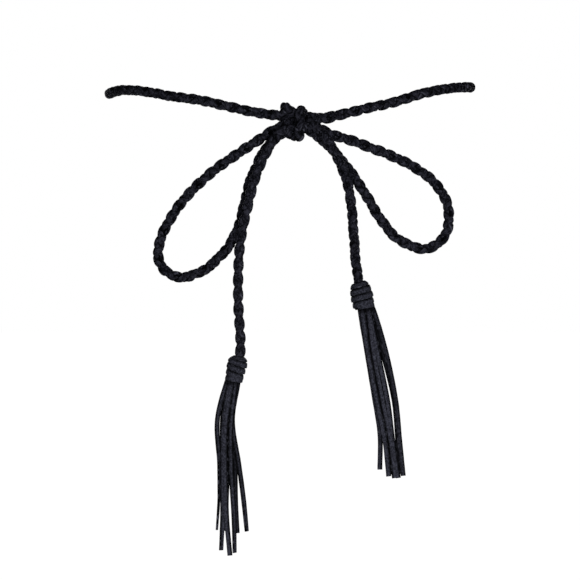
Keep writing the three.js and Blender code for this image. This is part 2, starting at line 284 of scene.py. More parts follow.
class Sheet:
    """A node tree, written node by node."""

    def __init__(self, tree):
        self.tree = tree

    def node(self, kind, inputs=(), **settings):
        made = self.tree.nodes.new(kind)
        for name, value in settings.items():
            setattr(made, name, value)
        for key, value in dict(inputs).items():
            if isinstance(value, Field):
                self.tree.links.new(value.socket, made.inputs[key])
            else:
                made.inputs[key].default_value = value
        return made

    def get(self, kind, inputs=(), output=0, **settings):
        """A node of which one output is wanted."""
        return Field(self, self.node(kind, inputs, **settings).outputs[output])

    def work(self, operation, a, b=0.0):
        """A sum of numbers or of vectors. A vector times a number is that vector, scaled."""
        vectors = [isinstance(value, Field) and value.is_vector for value in (a, b)]
        if not any(vectors):
            return self.get("ShaderNodeMath", {0: a, 1: b}, operation=operation)
        if operation == "MULTIPLY" and not all(vectors):
            vector, number = (a, b) if vectors[0] else (b, a)
            scaled = {0: vector, "Scale": number}
            return self.get("ShaderNodeVectorMath", scaled, operation="SCALE")
        return self.get("ShaderNodeVectorMath", {0: a, 1: b}, operation=operation)

    def vector(self, x=0.0, y=0.0, z=0.0):
        return self.get("ShaderNodeCombineXYZ", {"X": x, "Y": y, "Z": z})

    def parts(self, vector):
        split = self.node("ShaderNodeSeparateXYZ", {0: vector})
        return [Field(self, socket) for socket in split.outputs]

    def noise(self, place, scale, detail=1.0):
        """Smooth noise from about -0.5 to 0.5."""
        inputs = {"Vector": place, "Scale": scale, "Detail": detail}
        return self.get("ShaderNodeTexNoise", inputs) - 0.5

    def normal(self, vector):
        return self.get("ShaderNodeVectorMath", {0: vector}, operation="NORMALIZE")

    def cross(self, a, b):
        return self.get("ShaderNodeVectorMath", {0: a, 1: b}, operation="CROSS_PRODUCT")

    def power(self, value, exponent):
        """The size of a value, raised to a power."""
        return self.work("POWER", self.work("ABSOLUTE", value), exponent)

    def slope(self, value, over, to=(0.0, 1.0), kind="LINEAR"):
        """A value brought from one span to another, and held at its ends."""
        spans = {"From Min": over[0], "From Max": over[1], "To Min": to[0], "To Max": to[1]}
        return self.get("ShaderNodeMapRange", {"Value": value, **spans}, interpolation_type=kind)

    def step(self, value, over):
        """A soft step from 0 to 1 over a span."""
        return self.slope(value, over, kind="SMOOTHSTEP")

    def blend(self, share, one, other):
        """A share of the way from one colour to another."""
        inputs = {"Factor": share, "A": one, "B": other}
        made = self.tree.nodes.new("ShaderNodeMix")
        made.data_type = "RGBA"
        for socket in made.inputs:
            if socket.enabled and socket.name in inputs:
                self.tree.links.new(inputs[socket.name].socket, socket)
        return Field(self, next(socket for socket in made.outputs if socket.enabled))


def open_sheet(kind, title, inputs, outputs):
    """A new tree with named inputs and outputs, and its inputs as fields."""
    tree = bpy.data.node_groups.new(title, kind)
    for direction, sockets in (("INPUT", inputs), ("OUTPUT", outputs)):
        for name, socket_kind in sockets.items():
            tree.interface.new_socket(name, in_out=direction, socket_type="NodeSocket" + socket_kind)
    sheet = Sheet(tree)
    given = sheet.node("NodeGroupInput")
    return sheet, {socket.name: Field(sheet, socket) for socket in given.outputs if socket.name}


print("node helpers are ready")

# %% [markdown]
# ## Suede
#
# Suede is leather with its fibres brushed up. It has no gloss. It is lighter where the nap lies
# towards the light and darker where it is rubbed the other way, in soft patches a millimetre or two
# across, with a fine grain of single fibres on top. The cut edges of a lace show the paler, rougher
# inside of the skin. The pattern has to follow each lace as it goes round in the braid, so it reads
# an attribute that says where on the straight lace each point lies: across, through and along it.
#
# Black suede sends back so little light that its hollows are simply black in shade: where laces dip
# under one another, and along the edges where two lie side by side. Lamps alone don't draw that at this
# size, so the shade is painted: a second attribute says how much painted shade each point has, and the
# colour sinks to a near-black shade colour there.

# %% The nap of suede, as a group that both finishes share
PLACE_ATTRIBUTE = "lace_place"
EDGE_ATTRIBUTE = "lace_edge"
PAINTED_SHADE_ATTRIBUTE = "lace_hollow"
ALONG_THE_NAP = 0.45
NAP_DETAIL = 2.0
NAP_SPREAD = (-0.2, 0.26)
STREAK_SIZE = 0.0028
STREAK_SPREAD = (0.02, 0.18)
ROUGHEST = 0.97
LESS_ROUGH_WHERE_LIGHT = 0.12


def nap_group():
    sheet, given = open_sheet(
        "ShaderNodeTree",
        "suede nap",
        {
            "Place": "Vector", "Edge": "Float", "Hollow": "Float", "Dark": "Color", "Light": "Color",
            "Cut": "Color", "Deep": "Color", "Patch Size": "Float", "Fibre Size": "Float",
        },
        {"Color": "Color", "Roughness": "Float", "Height": "Float"},
    )
    place = given["Place"]
    across, through, along = sheet.parts(place)
    brushed = sheet.vector(across, through, along * ALONG_THE_NAP)
    patches = sheet.noise(place, sheet.work("DIVIDE", 1.0, given["Patch Size"]), NAP_DETAIL)
    fibres = sheet.noise(brushed, sheet.work("DIVIDE", 1.0, given["Fibre Size"]), NAP_DETAIL)
    lightness = sheet.step(patches + fibres, NAP_SPREAD)
    streaks = sheet.step(sheet.noise(place, 1 / STREAK_SIZE), STREAK_SPREAD)
    napped = sheet.blend(lightness, given["Dark"], given["Light"])
    # Painted shade: the colour sinks towards the near-black shade colour where a point is painted as shaded
    hollowed = sheet.blend(given["Hollow"], napped, given["Deep"])
    edged = sheet.blend(given["Edge"] * streaks, hollowed, given["Cut"])
    sheet.node("NodeGroupOutput", {
        "Color": edged,
        "Roughness": ROUGHEST - lightness * LESS_ROUGH_WHERE_LIGHT,
        "Height": patches * 0.5 + fibres * 0.5,
    })
    return sheet.tree


nap = nap_group()
print("suede nap has", len(nap.nodes), "nodes")

# %% The two finishes
# Both finishes are one suede: the braid's copy is painted darker than the hanging laces' as shade, and each
# has a near-black colour for its painted shade
SUEDES = {
    "braid_suede": {
        "Dark": (0.0016, 0.0016, 0.0029), "Light": (0.0230, 0.0232, 0.0328),
        "Cut": (0.0480, 0.0485, 0.0660), "Deep": (0.0006, 0.0006, 0.0010),
        "Patch Size": 0.0015, "Fibre Size": 0.00035,
    },
    "lace_suede": {
        "Dark": (0.0095, 0.0097, 0.0135), "Light": (0.0436, 0.0451, 0.0622),
        "Cut": (0.0560, 0.0570, 0.0740), "Deep": (0.0006, 0.0006, 0.0010),
        "Patch Size": 0.0011, "Fibre Size": 0.00035,
    },
}
NAP_RISE = 0.0004
NAP_STRENGTH = 0.8
GLOSS = 0.04
OPAQUE = 1.0


def suede(name, values):
    material = bpy.data.materials.new(name)
    material.use_nodes = True
    material.diffuse_color = (*values["Light"], OPAQUE)
    sheet = Sheet(material.node_tree)
    shader = material.node_tree.nodes["Principled BSDF"]
    place = sheet.get("ShaderNodeAttribute", output="Vector", attribute_name=PLACE_ATTRIBUTE)
    edge = sheet.get("ShaderNodeAttribute", output="Fac", attribute_name=EDGE_ATTRIBUTE)
    # How much painted shade each point has
    hollow = sheet.get("ShaderNodeAttribute", output="Fac", attribute_name=PAINTED_SHADE_ATTRIBUTE)
    colours = {key: (*value, OPAQUE) for key, value in values.items() if isinstance(value, tuple)}
    given = {"Place": place, "Edge": edge, "Hollow": hollow, **values, **colours}
    group = sheet.node("ShaderNodeGroup", given, node_tree=nap)
    bump = sheet.node("ShaderNodeBump", {
        "Height": Field(sheet, group.outputs["Height"]), "Distance": NAP_RISE, "Strength": NAP_STRENGTH,
    })
    links = material.node_tree.links
    links.new(group.outputs["Color"], shader.inputs["Base Color"])
    links.new(group.outputs["Roughness"], shader.inputs["Roughness"])
    links.new(bump.outputs["Normal"], shader.inputs["Normal"])
    shader.inputs["Specular IOR Level"].default_value = GLOSS
    return material


finishes = {name: suede(name, values) for name, values in SUEDES.items()}
print("finishes:", ", ".join(finishes))

# %% [markdown]
# ## How a four-lace braid goes
#
# In a round braid of four laces, two go round one way and two the other, and each lace passes over
# one and under the next. Seen along the rope, all four meet in two crossings on opposite sides, and
# a quarter of a turn later in two crossings on the other sides. So a lace's distance from the middle
# of the rope swings twice in each turn: out where it crosses over, in where it passes under. That
# gives the rope its lobes and its necks. Modelling hundreds of crossings by hand would be slow and
# uneven. A Geometry Nodes tree does it as a rule: it makes four straight laces, and then lays each
# point of them where the rule puts it round the rope's middle line.
#
# The line carries three counts for the tree to read: how many turns the laces have made so far, how
# far the whole braid is rolled over, and how far its crossings on one side run ahead of those on the
# other. A braid laid by hand is worked from the left and from the right in turn, so its lobes often
# stand aslant. Where it is pulled tight they face each other.

# %% Counts along the rope's middle line
LAY = 0.0196
LAY_AT_ENDS = 0.0176
FIRST_TURN = 0.4
PULLED_TIGHT = 0.045
SLANTS = {
    "tail_left": 6, "bow_knot": 12, "bow_loop_right": 28,
    "waist_rope": 12, "bow_loop_left": 28, "tail_right": 16,
}
# The braid rolls to and fro a little: how far, in degrees, and over how much rope for each radian
ROLLS = ((8, 0.037), (6, 0.0113))
BRAID_ATTRIBUTE = "braid"


def smooth(share):
    share = np.clip(share, 0, 1)
    return share * share * (3 - 2 * share)


to_end = np.minimum(rope_places, rope_places[-1] - rope_places)
lay_here = LAY_AT_ENDS + (LAY - LAY_AT_ENDS) * smooth(to_end / PULLED_TIGHT)
turns = FIRST_TURN + np.concatenate([[0], np.cumsum(np.diff(rope_places) / lay_here[1:])])
roll = np.radians(sum(far * np.sin(rope_places / length) for far, length in ROLLS))
middles = [(start + end) / 2 for _, start, end in stretches]
slant = np.radians(np.interp(rope_places, middles, [SLANTS[name] for name, _, _ in stretches]))


def line_mesh(name, lines, **attributes):
    """Lines of points as loose edges of a mesh, with an attribute for each point."""
    edges = []
    first = 0
    for line in lines:
        edges += [(k, k + 1) for k in range(first, first + len(line) - 1)]
        first += len(line)
    mesh = bpy.data.meshes.new(name)
    mesh.from_pydata(np.vstack(lines).tolist(), edges, [])
    for title, values in attributes.items():
        values = np.asarray(values, float)
        is_vector = values.ndim == 2
        made = mesh.attributes.new(title, "FLOAT_VECTOR" if is_vector else "FLOAT", "POINT")
        made.data.foreach_set("vector" if is_vector else "value", values.ravel())
    return mesh


rope_mesh = line_mesh("rope_line", [rope_line], **{BRAID_ATTRIBUTE: np.column_stack([turns, roll, slant])})
print("the laces go round", round(turns[-1], 1), "times from one tassel to the other")

# %% [markdown]
# A lace is cut from a skin, so its section is a flat rectangle. Wear rounds the corners. The section
# here is a circle whose corners are pushed outwards: each coordinate is raised to a power below one.
# No hand lays every lace alike, so each tilts a little and is cut a little unevenly along its length.

# %% Parts that both lace trees share
SECTION_CORNERS = 16
SQUARENESS = 0.5
EDGE_SHARPNESS = 6.0
LACE_APART = 0.05

# Each lace reads the noise along a lane of its own, and each thing that varies in its own plane
LANE_APART = 7.0
TILT_PLANE, WIDTH_PLANE, PATCH_PLANE, WAVE_PLANE = 0.0, 3.0, 5.0, 9.0
TURN = 2 * math.pi


def carry(sheet, geometry, **fields):
    """Geometry that carries fields along with its points, and the carried fields."""
    node = sheet.node("GeometryNodeCaptureAttribute", {"Geometry": geometry})
    for name, field in fields.items():
        node.capture_items.new("VECTOR" if field.is_vector else "FLOAT", name)
        sheet.tree.links.new(field.socket, node.inputs[name])
    carried = [Field(sheet, node.outputs[name]) for name in fields]
    return Field(sheet, node.outputs["Geometry"]), carried


def push_out(sheet, value):
    return sheet.power(value, SQUARENESS) * sheet.work("SIGN", value)


def lace_body(sheet, lines):
    """A mesh along the lines, and each point's place in the section, from -1 to 1 both ways."""
    ring = sheet.get("GeometryNodeCurvePrimitiveCircle", {"Resolution": SECTION_CORNERS, "Radius": 1.0})
    across, through, _ = sheet.parts(sheet.get("GeometryNodeInputPosition"))
    ring, (across, through) = carry(
        sheet, ring, across=push_out(sheet, across), through=push_out(sheet, through)
    )
    body = sheet.get("GeometryNodeCurveToMesh", {"Curve": lines, "Profile Curve": ring, "Fill Caps": True})
    return body, across, through


def lay_section(sheet, given, directions, across, through, along, lane, tilts, widths):
    """How far each point lies off its lace's middle line, as a vector and across the lace."""
    side, up = directions
    tilt = sheet.noise(sheet.vector(along, lane, TILT_PLANE), tilts) * 2 * given["Tilt"]
    uneven = sheet.noise(sheet.vector(along, lane, WIDTH_PLANE), widths) * given["Unevenness"]
    cos, sin = sheet.work("COSINE", tilt), sheet.work("SINE", tilt)
    reach = across * (given["Lace Width"] / 2 * (1 + uneven))
    rise = through * (given["Lace Thickness"] / 2) - reach * reach * given["Curl"]
    return (side * cos + up * sin) * reach + (up * cos - side * sin) * rise, reach


def finish_lace(sheet, body, position, place, edge, hollow, material):
    """Puts the points in their places, stores what the suede reads, and ends the tree."""
    body = sheet.get("GeometryNodeSetPosition", {"Geometry": body, "Position": position})
    for name, field in ((PLACE_ATTRIBUTE, place), (EDGE_ATTRIBUTE, edge), (PAINTED_SHADE_ATTRIBUTE, hollow)):
        body = sheet.get(
            "GeometryNodeStoreNamedAttribute", {"Geometry": body, "Name": name, "Value": field},
            data_type="FLOAT_VECTOR" if name == PLACE_ATTRIBUTE else "FLOAT", domain="POINT",
        )
    corners = sheet.get("GeometryNodeInputMeshFaceNeighbors")
    on_side = sheet.get("FunctionNodeCompare", {"A": corners, "B": 5.0}, operation="LESS_THAN")
    body = sheet.get("GeometryNodeSetShadeSmooth", {"Geometry": body, "Selection": on_side})
    body = sheet.get("GeometryNodeRealizeInstances", {"Geometry": body})
    body = sheet.get("GeometryNodeSetMaterial", {"Geometry": body, "Material": material})
    sheet.node("NodeGroupOutput", {"Geometry": body})
    return sheet.tree


# %% The braid tree
LACES_IN_BRAID = 4
BRAID_TILTS_A_METRE = 160.0
BRAID_WIDTHS_A_METRE = 220.0
BRAID_WAVES_A_METRE = 130.0

# How far a point stands out from the middle of the rope, as shares of its width, where the painted
# shade of the hollows is full and where it has gone, and how dark the full painted shade is
HOLLOW_SPAN = (0.20, 0.42)
HOLLOW_SHADE = 0.9
# How sharply painted shade gathers towards the edges of each lace
RIM_SHARPNESS = 3.0


def braid_tree():
    sheet, given = open_sheet(
        "GeometryNodeTree",
        "braid of four laces",
        {
            "Geometry": "Geometry", "From": "Float", "To": "Float", "Step": "Float", "Lay": "Float",
            "Across": "Float", "Lace Width": "Float", "Lace Thickness": "Float", "Curl": "Float",
            "Tilt": "Float", "Unevenness": "Float", "Shade": "Float", "Seed": "Float",
            "Material": "Material",
        },
        {"Geometry": "Geometry"},
    )
    middle_line = sheet.get("GeometryNodeMeshToCurve", {"Mesh": given["Geometry"]})

    # Four straight laces, side by side in one place, whose height is the length along the rope
    straight = sheet.get("GeometryNodeCurvePrimitiveLine", {
        "Start": sheet.vector(z=given["From"]), "End": sheet.vector(z=given["To"]),
    })
    straight = sheet.get(
        "GeometryNodeResampleCurve", {"Curve": straight, "Length": given["Step"]}, mode="LENGTH"
    )
    four = sheet.node(
        "GeometryNodeDuplicateElements", {"Geometry": straight, "Amount": LACES_IN_BRAID}, domain="SPLINE"
    )
    _, _, height = sheet.parts(sheet.get("GeometryNodeInputPosition"))
    laces, (along, lace) = carry(
        sheet, Field(sheet, four.outputs[0]), along=height, lace=Field(sheet, four.outputs[1])
    )
    body, across, through = lace_body(sheet, laces)

    # Where the rope is at that length, and what it has counted there
    counts = sheet.get(
        "GeometryNodeInputNamedAttribute", {"Name": BRAID_ATTRIBUTE}, data_type="FLOAT_VECTOR"
    )
    rope = sheet.node(
        "GeometryNodeSampleCurve", {"Curves": middle_line, "Value": counts, "Length": along},
        mode="LENGTH", data_type="FLOAT_VECTOR", use_all_curves=True,
    )
    counts, middle, tangent, normal = [Field(sheet, socket) for socket in rope.outputs]
    turns, roll, slant = sheet.parts(counts)

    # Two laces go round one way and two the other, and one of each pair runs ahead by the slant
    pair = sheet.work("FLOOR", lace / 2)
    way = 1 - 2 * pair
    ahead = slant * (1 - 2 * (lace - 2 * pair))
    angle = way * (turns * TURN + ahead) + lace * math.pi + roll

    # A lace lies out nearly all the way round, and dips only where it passes under
    level = sheet.work("COSINE", turns * TURN)
    dip_angle = turns * TURN + ahead * level * level + pair * (math.pi / 2)
    dip_sine = sheet.work("SINE", dip_angle)
    dip = dip_sine * dip_sine * dip_sine * dip_sine
    dip_slope = dip_sine * dip_sine * dip_sine * sheet.work("COSINE", dip_angle) * (4 * TURN) / given["Lay"]
    half_thick = given["Lace Thickness"] / 2
    deepest = given["Across"] / 2 - given["Lace Thickness"]
    radius = given["Across"] / 2 - half_thick - deepest * dip

    # The lace's own directions: along itself, outwards from the rope, and sideways
    sideways = sheet.cross(tangent, normal)
    cos, sin = sheet.work("COSINE", angle), sheet.work("SINE", angle)
    outward = normal * cos + sideways * sin
    round_rope = sideways * cos - normal * sin
    travel = sheet.normal(
        tangent - outward * (deepest * dip_slope) + round_rope * (radius * way * TURN / given["Lay"])
    )
    side = sheet.normal(sheet.cross(outward, travel))
    up = sheet.cross(travel, side)

    lane = lace * LANE_APART + given["Seed"]
    off_lace, reach = lay_section(
        sheet, given, (side, up), across, through, along, lane, BRAID_TILTS_A_METRE, BRAID_WIDTHS_A_METRE
    )
    wave = sheet.noise(sheet.vector(along, lane, WAVE_PLANE), BRAID_WAVES_A_METRE)
    offset = outward * (radius + wave * given["Unevenness"] * half_thick) + off_lace
    place = sheet.vector(reach + lace * LACE_APART, through * half_thick, along)

    # Painted shade: little light gets in where a lace dips under others, or at its edges, so the colour
    # is darkened there
    stand_out = sheet.get("ShaderNodeVectorMath", {0: offset}, "Value", operation="LENGTH")
    hollow = sheet.slope(stand_out / given["Across"], HOLLOW_SPAN, to=(HOLLOW_SHADE, 0.0))
    edge = sheet.power(across, EDGE_SHARPNESS) * (1 - hollow)
    hollow = sheet.work("MAXIMUM", hollow, sheet.power(across, RIM_SHARPNESS)) * given["Shade"]
    return finish_lace(sheet, body, middle + offset, place, edge, hollow, given["Material"])


braid = braid_tree()
print("the braid tree has", len(braid.nodes), "nodes")

# %% [markdown]
# A tree only works while its modifier is on the object. The pieces have to be plain meshes in the
# end, so each is grown from its line, taken as the evaluated mesh, and left without the modifier.

# %% Growing a piece from its line
KEPT_ATTRIBUTES = ("position", PLACE_ATTRIBUTE, EDGE_ATTRIBUTE, PAINTED_SHADE_ATTRIBUTE)


def grow(name, tree, line, **inputs):
    piece = bpy.data.objects.new(name, line.copy())
    scene.collection.objects.link(piece)
    modifier = piece.modifiers.new(tree.name, "NODES")
    modifier.node_group = tree
    sockets = {item.name: item.identifier for item in tree.interface.items_tree if item.in_out == "INPUT"}
    for title, value in inputs.items():
        modifier[sockets[title.replace("_", " ")]] = value
    evaluated = piece.evaluated_get(bpy.context.evaluated_depsgraph_get())
    mesh = bpy.data.meshes.new_from_object(evaluated)
    piece.modifiers.clear()
    piece.data = mesh
    mesh.name = name
    on_points = [a for a in mesh.attributes if a.domain == "POINT" and a.data_type.startswith("FLOAT")]
    for title in [a.name for a in on_points if a.name not in KEPT_ATTRIBUTES]:
        mesh.attributes.remove(mesh.attributes[title])
    mesh.calc_loop_triangles()
    print(name, "has", len(mesh.loop_triangles), "triangles")
    return piece


# %% [markdown]
# Pressed together in the braid, the laces are wider than where they hang, and close its gaps. Each
# stretch of rope has a thickness of its own, because some are pulled tighter than others.

# %% The braided stretches
BRAID_STEP = 0.0008
BRAID_ACROSS = {
    "waist_rope": 0.0074, "bow_loop_left": 0.0076, "bow_loop_right": 0.0076,
    "tail_left": 0.0071, "tail_right": 0.0073, "bow_knot": 0.0075,
}
# How strong the painted shade of the hollows is on each stretch: weaker on the tails and the right
# loop, so that they look lighter, as where more light falls on them
BRAID_PAINTED_SHADE = {
    "waist_rope": 1.0, "bow_loop_left": 1.0, "bow_loop_right": 0.86,
    "tail_left": 0.62, "tail_right": 0.86, "bow_knot": 1.0,
}
BRAID_LACE_WIDTH = 0.0041
BRAID_LACE_THICK = 0.0018
BRAID_CURL = 120.0
BRAID_TILT = math.radians(10)
BRAID_UNEVENNESS = 0.25
BRAID_SEED = 4.0


def grow_braid(name, stretch, start, end):
    return grow(
        name, braid, rope_mesh,
        From=float(start), To=float(end), Step=BRAID_STEP, Lay=LAY, Across=BRAID_ACROSS[stretch],
        Lace_Width=BRAID_LACE_WIDTH, Lace_Thickness=BRAID_LACE_THICK, Curl=BRAID_CURL,
        Tilt=BRAID_TILT, Unevenness=BRAID_UNEVENNESS, Shade=BRAID_PAINTED_SHADE[stretch], Seed=BRAID_SEED,
        Material=finishes["braid_suede"],
    )


ropes = {
    name: grow_braid(name + "_braid", name, start, end)
    for name, start, end in stretches if name != "bow_knot"
}

# %% [markdown]
# ## The knot
#
# Rope passes through the knot of a bow four times, and the passes press on one another. A sculpted
# lump would lose the braid, so each pass is braided along the same middle line as the rest of the
# rope, and the four are joined into one piece.

# %% The knot
passes = [
    grow_braid("bow_knot_pass", name, start, end) for name, start, end in stretches if name == "bow_knot"
]
with bpy.context.temp_override(active_object=passes[0], selected_editable_objects=passes):
    bpy.ops.object.join()
knot = passes[0]
knot.name = knot.data.name = "bow_knot_braid"
print("the knot has", len(knot.data.polygons), "faces")

# %% [markdown]
# ## The heads of the tassels
#
# Each end of the rope is bound off with one more flat lace, wound round the rope's end and the tops
# of the hanging laces. The first turn closes in over the top like a shoulder, and the last one runs
# off at a slant. A flat lace that follows a line needs to know which way its face looks, so each
# point of the line carries that direction, and a second tree lays a lace along any such lines. Each
# point also says how much painted shade the lace has there as a whole, and along each of its two edges.

# %% The flat lace tree
FACING_ATTRIBUTE = "facing"
NUMBER_ATTRIBUTE = "lace_number"
SHADE_ATTRIBUTE = "lace_shade"
FLAT_TILTS_A_METRE = 60.0
FLAT_WIDTHS_A_METRE = 150.0

# The painted shade along an edge starts and is full at these shares of the half width, and is a little
# patchy
FLAT_RIM = (0.37, 0.73)
PATCHES_A_METRE = 110.0
PATCH_SPREAD = (-0.2, 0.05)
FAINTEST_PATCH = 0.86


def flat_lace_tree():
    sheet, given = open_sheet(
        "GeometryNodeTree",
        "flat laces along lines",
        {
            "Geometry": "Geometry", "Lace Width": "Float", "Lace Thickness": "Float", "Curl": "Float",
            "Tilt": "Float", "Unevenness": "Float", "Seed": "Float", "Material": "Material",
        },
        {"Geometry": "Geometry"},
    )
    lines = sheet.get("GeometryNodeMeshToCurve", {"Mesh": given["Geometry"]})
    carried = (
        (FACING_ATTRIBUTE, "FLOAT_VECTOR"), (NUMBER_ATTRIBUTE, "FLOAT"), (SHADE_ATTRIBUTE, "FLOAT_VECTOR"),
    )
    facing, number, shade = (
        sheet.get("GeometryNodeInputNamedAttribute", {"Name": name}, data_type=kind)
        for name, kind in carried
    )
    lines, (middle, travel, along, facing, number, shade) = carry(
        sheet, lines,
        middle=sheet.get("GeometryNodeInputPosition"),
        travel=sheet.get("GeometryNodeInputTangent"),
        along=sheet.get("GeometryNodeSplineParameter", output="Length"),
        facing=facing, number=number, shade=shade,
    )
    body, across, through = lace_body(sheet, lines)
    side = sheet.normal(sheet.cross(facing, travel))
    up = sheet.cross(travel, side)

    lane = number * LANE_APART + given["Seed"]
    off_lace, reach = lay_section(
        sheet, given, (side, up), across, through, along, lane, FLAT_TILTS_A_METRE, FLAT_WIDTHS_A_METRE
    )
    half_thick = given["Lace Thickness"] / 2
    place = sheet.vector(reach + number * LACE_APART, through * half_thick, along)
    edge = sheet.power(across, EDGE_SHARPNESS)

    # Painted shade: little light gets in where a lace lies behind others, or where its edge lies against
    # one, so the colour is darkened there
    whole, one_edge, other_edge = sheet.parts(shade)
    on_one, on_other = (sheet.step(across * way, FLAT_RIM) for way in (-1, 1))
    patches = sheet.noise(sheet.vector(along, lane, PATCH_PLANE), PATCHES_A_METRE)
    patchy = sheet.slope(patches, PATCH_SPREAD, to=(FAINTEST_PATCH, 1.0))
    hollow = sheet.work("MINIMUM", whole + (on_one * one_edge + on_other * other_edge) * patchy, 1.0)
    return finish_lace(sheet, body, middle + off_lace, place, edge, hollow, given["Material"])


flat_laces = flat_lace_tree()
print("the flat lace tree has", len(flat_laces.nodes), "nodes")

# %% Where the two heads are
WRAP_LONG = 0.016
ROPE_INTO_WRAP = 0.0024
TASSELS = {
    "left": {"across": 0.0124, "lean": math.radians(12), "way": 1, "rope_end": rope_line[0]},
    "right": {"across": 0.0140, "lean": math.radians(-11), "way": -1, "rope_end": rope_line[-1]},
}


def head_axes(side):
    """The top of a head, and its directions to the right, to the back and up along its lean."""
    lean = TASSELS[side]["lean"]
    right = np.array([math.cos(lean), 0, -math.sin(lean)])
    back = np.array([0, 1, 0])
    up = np.array([math.sin(lean), 0, math.cos(lean)])
    return TASSELS[side]["rope_end"] + up * ROPE_INTO_WRAP, right, back, up


# %% The wound lace of a head
WIND_PITCH = 0.0041
WIND_STEPS_A_TURN = 32
WIND_LACE_WIDTH = 0.0039
WIND_FOOT = 0.0146
TOP_RADIUS = 0.0046
SHOULDER = 0.0034
SHOULDER_TILT = math.radians(50)
SHINGLE_TILT = math.radians(7)
UNDER_LAYER = 0.0010
WIND_CUT = {"Curl": 60.0, "Tilt": math.radians(8), "Unevenness": 0.15, "Seed": 20.0}
# A head's front is a quarter of a turn on from its side
FRONT_AT = 0.25
# The edge that the next turn covers gets a darker painted shadow than the one that lies on top
TUCKED_EDGE_SHADE = 1.0
OUTER_EDGE_SHADE = 0.4

# How deep each head starts, how thick it is at three depths, where its lace starts, in turns from its
# own side and metres down, where it stops, and how unevenly each turn goes down, as shares of the
# pitch for a wave at the side and one at the front
DEPTHS = (0.002, 0.008, 0.0145)
WINDS = {
    "left": {
        "top": 0.0010, "radii": (0.0070, 0.0065, 0.0059), "start": (-0.9, 0.0023), "stop": 3.55,
        "side_wave": 0.12, "front_wave": 0.09,
    },
    "right": {
        "top": -0.0006, "radii": (0.0068, 0.0077, 0.0071), "start": (-0.95, 0.0036), "stop": 3.35,
        "side_wave": 0.04, "front_wave": -0.11,
    },
}


def wound_line(side, layer):
    """A wound lace's middle line, facings, numbers and painted shades. Layer 1 fills the gaps of layer 0
    and is painted wholly in shade.
    """
    top, right, back, up = head_axes(side)
    wind = WINDS[side]
    way = TASSELS[side]["way"]
    first_turn, first_depth = wind["start"]
    turn = np.linspace(first_turn, wind["stop"], round((wind["stop"] - first_turn) * WIND_STEPS_A_TURN) + 1)
    waves = wind["side_wave"] * np.sin(TURN * turn) + wind["front_wave"] * (1 - np.cos(TURN * turn)) / 2
    depth = np.clip(first_depth + WIND_PITCH * (turn + waves + layer / 2), wind["top"], WIND_FOOT)
    angle = way * (turn - FRONT_AT) * TURN
    body_radius = np.interp(depth, DEPTHS, wind["radii"]) - LACE_THICK / 2
    down_shoulder = smooth((depth - wind["top"]) / SHOULDER)
    radius = TOP_RADIUS + (body_radius - TOP_RADIUS) * down_shoulder - layer * UNDER_LAYER
    tilt = SHINGLE_TILT + (SHOULDER_TILT - SHINGLE_TILT) * (1 - down_shoulder)
    outward = np.outer(np.sin(angle), right) - np.outer(np.cos(angle), back)
    line = top + outward * radius[:, None] - np.outer(depth, up)
    facing = outward * np.cos(tilt)[:, None] + np.outer(np.sin(tilt), up)
    # Painted shade: the under layer is wholly dark, and each edge gets its painted groove shadow
    edges = (OUTER_EDGE_SHADE, TUCKED_EDGE_SHADE)[::way]
    shade = np.tile((layer, *edges), (len(line), 1))
    return line, facing, np.full(len(line), layer), shade


def wound_head(side):
    lines, facings, numbers, shades = zip(*(wound_line(side, layer) for layer in (0, 1)))
    mesh = line_mesh("wound_lines", lines, **{
        FACING_ATTRIBUTE: np.vstack(facings), NUMBER_ATTRIBUTE: np.concatenate(numbers),
        SHADE_ATTRIBUTE: np.vstack(shades),
    })
    return grow(
        f"tassel_wrap_{side}_lace", flat_laces, mesh,
        Lace_Width=WIND_LACE_WIDTH, Lace_Thickness=LACE_THICK, Material=finishes["lace_suede"], **WIND_CUT,
    )


wraps = {side: wound_head(side) for side in TASSELS}

# %% [markdown]
# ## The hanging laces
#
# Eight laces hang from each head. They come out of it flat, side by side in two layers, and then
# each goes its own way: it drifts sideways, turns on edge, and ends in a square cut. A short table
# says where each lace is across the bundle at five heights, how long it is, which layer it lies in,
# and how far it has turned a quarter of the way down, by the middle and by the tip. The laces behind
# have painted shade, as if in the shade of those in front, and all have a painted shadow of the head
# just below it.

# %% The table of laces
FRINGE_LONG = 0.113
PLACES_DOWN = (0, 0.25, 0.55, 0.78, 1)
TURNS_DOWN = (0, 0.25, 0.55, 1)
LAYER_DEPTH = 0.0028

